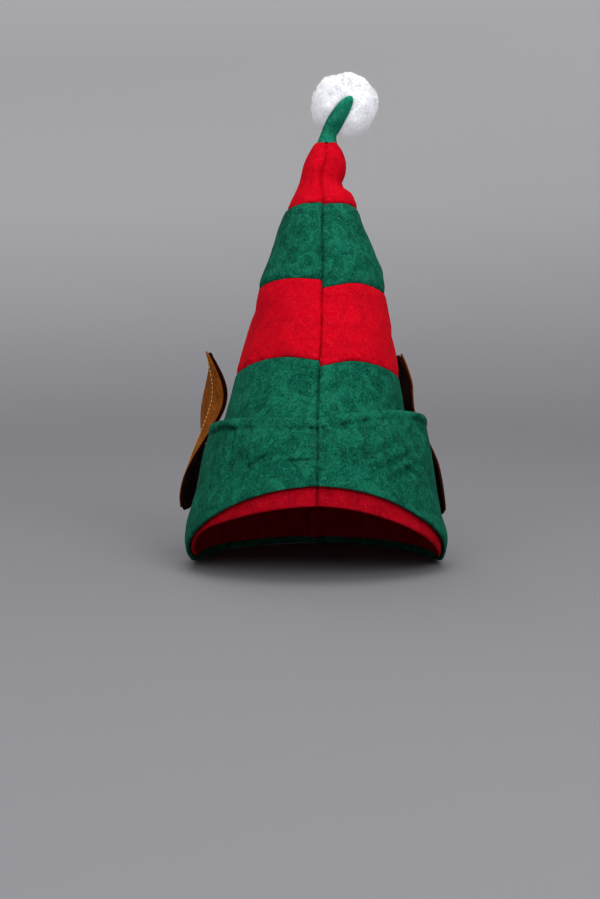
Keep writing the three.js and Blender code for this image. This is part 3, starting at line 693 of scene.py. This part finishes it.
def crown_panels(green, red, painted_shade_rim_red):
    """The two halves of each stripe, sewn edge to edge."""
    forms = {}
    seam_points, upright_points = [], []
    for stripe in STRIPES:
        for side in SIDES:
            node = f"{stripe}_{side}"
            work = quad_form(node)
            gather_seams(work, node, seam_points, upright_points)
            forms[node] = work
    seams = tree_of(seam_points)
    uprights = tree_of(upright_points)
    for node, work in forms.items():
        stripe = node.rsplit("_", 1)[0]
        material, slot = (green, "felt_green") if "green" in stripe else (red, "felt_red")
        # The rim's darker red is painted shade from the cuff above it
        if stripe == "crown_red_rim":
            material = painted_shade_rim_red
        work = turn_in_allowance(work, node)
        rounds = 2 if stripe == "crown_red_upper" else 3
        piece = rounded(work, f"felt_{node}", material, rounds, sharp_seams(work, node))
        press_seam(piece, uprights)
        crumple(piece, seams, folds=CROWN_FOLDS)
        worn(piece, slot, node)
    return seams


def tip_piece(green, seams):
    """The bent tube of felt at the top, whose foot laps over the crown's top edge."""
    work = quad_form("crown_tip")
    foot = close_seams(work, "crown_tip")[0]
    for vertex in {v for face in foot for v in face.verts}:
        if any(f not in foot and f.normal.dot(outwards(vertex.co)) > 0.5 for f in vertex.link_faces):
            vertex.co += outwards(vertex.co) * TIP_LAP_OUT - Vector((0, 0, TIP_LAP))
    work.edges.index_update()
    sharp = {edge.index: FOOT_EDGE for face in foot for edge in face.edges}
    piece = rounded(work, "felt_crown_tip", green, 3, sharp)
    crumple(piece, seams, 0.5, TIP_FOLDS)
    worn(piece, "felt_green", "crown_tip")
    return piece


# Cuff

def hem_line(work):
    """The line of the hem's stitches on a half of the cuff: three rows of corners below its top edge."""
    top = max(vertex.co.z for vertex in work.verts)
    line = []
    for vertex in work.verts:
        if not any(f.normal.z > 0.6 and f.calc_center_median().z > top - 12 * MM for f in vertex.link_faces):
            continue
        if not any(f.normal.dot(outwards(vertex.co)) > 0.55 for f in vertex.link_faces):
            continue
        spot = vertex
        for _ in range(3):
            spot = min((edge.other_vert(spot) for edge in spot.link_edges), key=lambda v: v.co.z)
        line.append(spot.co.copy())
    line.sort(key=lambda p: math.atan2(p.x, -p.y + middle_at(p.z).y))
    return line


def cuff_halves(green, green_thread):
    """The turned-up cuff: two halves with a stitched hem along the top."""
    halves = {}
    seam_points, upright_points = [], []
    for side in SIDES:
        node = f"cuff_{side}"
        work = quad_form(node)
        hem = hem_line(work)
        gather_seams(work, node, seam_points, upright_points)
        halves[side] = (work, hem)
    seams = tree_of(seam_points)
    uprights = tree_of(upright_points)
    for side, (work, hem) in halves.items():
        node = f"cuff_{side}"
        piece = rounded(work, f"felt_{node}", green, 3, sharp_seams(work, node))
        settle(piece)
        press_seam(piece, uprights)
        press_hem(piece, tree_of([place for place, _ in points_along(hem, 0.5 * MM)]))
        crumple(piece, seams, folds=CUFF_FOLDS)
        worn(piece, "felt_green", node)
        tree = surface_tree(piece)
        line = laid_on(tree, points_along(hem, HEM_PITCH)[1:-1])
        sewn = stitches(f"hem_stitches_{side}", line, HEM_LENGTH, THREAD_WIDTH, green_thread, 0.2 * MM)
        worn(sewn, "felt_green")


# Ears

def ear_crest(work, hand, corner):
    """The line along an ear's outer face, from lobe to point, through the given corner of each row."""
    rows = {}
    for vertex in work.verts:
        rows.setdefault(round(vertex.co.z / MM, 1), []).append(vertex.co.copy())
    line = []
    for level in sorted(rows):
        row = sorted(rows[level], key=lambda p: p.y)
        if len(row) == 14:
            line.append(max(row[corner:corner + 2], key=lambda p: p.x * hand))
    return line


def ears(tan, brown, tan_thread):
    """Each ear: a tan layer outside and a larger brown one next to the hat, sewn down its middle."""
    for side, hand in (("left", 1), ("right", -1)):
        work = quad_form(f"ear_{side}_front")
        crest = ear_crest(work, hand, CREST_CORNER[side])
        front = rounded(work, f"felt_ear_{side}_front", tan, 3)
        back = rounded(quad_form(f"ear_{side}_back"), f"felt_ear_{side}_back", brown, 2)
        crease = tree_of([place for place, _ in points_along(crest, 1 * MM)])
        for piece in (front, back):
            crumple(piece, share=0.45)
            pull_crease(piece, crease, side)
        trim_point(back)
        worn(front, "felt_tan", f"ear_{side}_front")
        worn(back, "felt_brown", f"ear_{side}_back")
        raised = Vector((hand * (CREASE_HEIGHT[side] + 1 * MM), 0, 0))
        line = [(place + raised, way) for place, way in points_along(crest, EAR_PITCH)[2:-2]]
        line = laid_on(surface_tree(front), line)
        sewn = stitches(f"ear_stitches_{side}", line, EAR_LENGTH, EAR_THREAD_WIDTH, tan_thread, 0.35 * MM)
        worn(sewn, "felt_tan")


# Pompom

def pompom_core(white):
    """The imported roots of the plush: a soft lumpy ball a little smaller than the pompom."""
    mesh = NODES["pompom"].data.copy()
    core = new_object("plush_pompom_core", mesh, white)
    for kind, settings in (("REMESH", {"mode": "VOXEL", "voxel_size": 1.1 * MM}),
                           ("SMOOTH", {"iterations": 40, "factor": 0.6})):
        step = core.modifiers.new(kind.lower(), kind)
        for name, value in settings.items():
            setattr(step, name, value)
    applied(core)
    places = corners_of(core.data)
    normals = np.empty(len(places) * 3)
    core.data.vertices.foreach_get("normal", normals)
    lift = sum(high * soft_noise(places, wide, 3 + i) for i, (wide, high) in enumerate(PLUSH_LUMPS))
    lift -= PLUSH_SINK
    place_corners(core.data, places + normals.reshape(-1, 3) * lift[:, None])
    return core


def pompom_fibres(core, tip, white):
    """Fibres of the plush, drawn together into small tufts. None grows through the tip."""
    chance = random.Random(11)
    low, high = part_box("pompom")
    middle = (Vector(low) + Vector(high)) / 2
    tufts = []
    for _ in range(PLUSH_TUFTS):
        way = Vector([chance.gauss(0, 1) for _ in range(3)]).normalized()
        tufts.append((way, chance.uniform(0.8, 1.15)))
    near_tuft = tree_of([way for way, _ in tufts])
    tip_tree = surface_tree(tip)
    polygons = core.data.polygons
    sums, total = [], 0.0
    for face in polygons:
        total += face.area
        sums.append(total)
    corners, faces = [], []
    for _ in range(PLUSH_FIBRES):
        spot = chance.uniform(0, total)
        first, last = 0, len(sums) - 1
        while first < last:
            half = (first + last) // 2
            if sums[half] < spot:
                first = half + 1
            else:
                last = half
        face = polygons[first]
        places = [core.data.vertices[i].co for i in face.vertices]
        shares = [chance.random() for _ in places]
        root = sum((p * s for p, s in zip(places, shares)), Vector()) / sum(shares)
        out = (root - middle).normalized()
        _, which, _ = near_tuft.find(out)
        way, grown = tufts[which]
        length = PLUSH_LENGTH * grown * chance.uniform(0.75, 1.15)
        stray = Vector([chance.uniform(-1, 1) for _ in range(3)]) * 0.35
        aim = (out + face.normal * 0.5 + stray).normalized()
        end = root + aim * length
        gather = middle + way * (end - middle).length
        end = end.lerp(gather, chance.uniform(0.15, 0.5) if chance.random() > 0.12 else 0.0)
        elbow = root.lerp(end, 0.55) + aim * length * 0.12
        if any(tip_tree.find_nearest(p)[3] < 0.9 * MM for p in (elbow, end, (elbow + end) / 2)):
            continue
        across = aim.orthogonal().normalized()
        other = aim.cross(across)
        start = len(corners)
        for centre, size in ((root - aim * 0.6 * MM, 1.0), (elbow, 0.8)):
            for k in range(3):
                angle = 2 * math.pi * k / 3
                corners.append(centre + (across * math.cos(angle) + other * math.sin(angle))
                               * PLUSH_WIDTH / 2 * size)
        corners.append(end)
        faces.append((start + 2, start + 1, start))
        for k in range(3):
            n = (k + 1) % 3
            faces.append((start + k, start + n, start + 3 + n, start + 3 + k))
            faces.append((start + 3 + k, start + 3 + n, start + 6))
    mesh = bpy.data.meshes.new("plush_pompom_fibres")
    mesh.from_pydata(corners, [], faces)
    fibres = new_object("plush_pompom_fibres", mesh, white)
    mesh.normals_split_custom_set_from_vertices([(corner - middle).normalized() for corner in corners])
    return fibres


def pompom(tip, white, root_white):
    core = pompom_core(root_white)
    fibres = pompom_fibres(core, tip, white)
    worn(core, "plush_white", "pompom")
    worn(fibres, "plush_white")


# Studio

def paper_cove():
    """A round sheet of paper: flat under the hat, and curved gently up all round."""
    floor, bend, turns = 0.8, 2.6, 96
    profile = [(0.3, 0.0), (floor, 0.0)]
    profile += [(floor + bend * math.sin(a), bend - bend * math.cos(a))
                for a in (math.pi / 2 * i / 28 for i in range(1, 29))]
    profile.append((floor + bend, 3.0))
    work = bmesh.new()
    rings = [[work.verts.new((reach * math.cos(a), reach * math.sin(a), high))
              for a in (2 * math.pi * i / turns for i in range(turns))] for reach, high in profile]
    middle = work.verts.new((0, 0, 0))
    for i in range(turns):
        n = (i + 1) % turns
        work.faces.new((middle, rings[0][i], rings[0][n]))
        for low, high in zip(rings, rings[1:]):
            work.faces.new((low[i], high[i], high[n], low[n]))
    bmesh.ops.recalc_face_normals(work, faces=work.faces)
    mesh = bpy.data.meshes.new("paper_cove")
    work.to_mesh(mesh)
    work.free()
    new_object("paper_cove", mesh, studio_paper("background_paper"))


def softbox(name, place, aim, size, power):
    light = bpy.data.lights.new(name, "AREA")
    light.size = size
    light.energy = power
    lamp = bpy.data.objects.new(name, light)
    bpy.context.scene.collection.objects.link(lamp)
    lamp.location = place
    lamp.rotation_euler = (Vector(aim) - Vector(place)).to_track_quat("-Z", "Y").to_euler()


def studio():
    """The paper cove, soft lights from above and both sides, and the camera."""
    paper_cove()
    softbox("top_softbox", (0.1, -0.5, 1.75), (0, 0, 0.16), 1.3, 18)
    softbox("left_softbox", (-0.75, -1.5, 1.1), (0, 0, 0.2), 0.9, 8)
    softbox("right_softbox", (0.85, -1.45, 1.1), (0, 0, 0.2), 0.9, 15)
    softbox("back_softbox", (-0.4, 1.4, 1.4), (0, 0, 0.16), 1.0, 6)
    world = bpy.data.worlds.new("studio_air")
    world.use_nodes = True
    world.node_tree.nodes["Background"].inputs["Color"].default_value = linear("#ffffff")
    world.node_tree.nodes["Background"].inputs["Strength"].default_value = 0.55
    bpy.context.scene.world = world

    lens = bpy.data.cameras.new("camera")
    lens.sensor_width = SENSOR
    lens.lens = FOCAL_PIXELS * SENSOR / IMAGE_HEIGHT
    eye = bpy.data.objects.new("camera", lens)
    bpy.context.scene.collection.objects.link(eye)
    eye.location = EYE
    eye.rotation_euler = (math.radians(90 - PITCH), 0, 0)
    bpy.context.scene.camera = eye
    bpy.context.scene.view_settings.view_transform = "Standard"


def build():
    green = felt("green_polyester_felt", "#01392b", "#064d3b", "#12624b", "#34906f", (0.05, "#3f9c80"), 0.0)
    # The tip takes a lighter copy of the green felt: painted light, as if the tip caught more light than the
    # crown
    painted_light_tip_green = felt("green_felt_painted_light_tip", "#0a6049", "#14765b", "#21886b", "#4aa98a", (0.05, "#3f9c80"), 0.13)
    red = felt("red_polyester_felt", "#ae0014", "#bb0016", "#c60218", "#e8283a", (0.03, "#ff2a38"), 0.31)
    # The rim takes a darker copy of the red felt: painted shade, as from the cuff that overhangs it
    painted_shade_rim_red = felt("red_felt_painted_shade_rim", "#8c0010", "#a00014", "#ac0418", "#c42a34", (0.05, "#ff2a38"), 0.31)
    tan = felt("tan_polyester_felt", "#5e2f08", "#74390c", "#864812", "#a8662c", (0.2, "#c98a4e"), 0.57)
    brown = felt("brown_polyester_felt", "#100302", "#1c0604", "#280a06", "#38140e", (0.05, "#6b3a2c"), 0.83)
    white = plush("white_polyester_plush", "#e6e6e8", "#eeeef0", 0.0)
    roots = plush("white_plush_roots", "#e4e4e6", "#eeeef0", 0.8)
    seams = crown_panels(green, red, painted_shade_rim_red)
    tip = tip_piece(painted_light_tip_green, seams)
    cuff_halves(green, thread("green_polyester_thread", "#053a2e", "#12624d"))
    ears(tan, brown, thread("tan_polyester_thread", "#b87a38", "#dca45a"))
    pompom(tip, white, roots)


build()
studio()
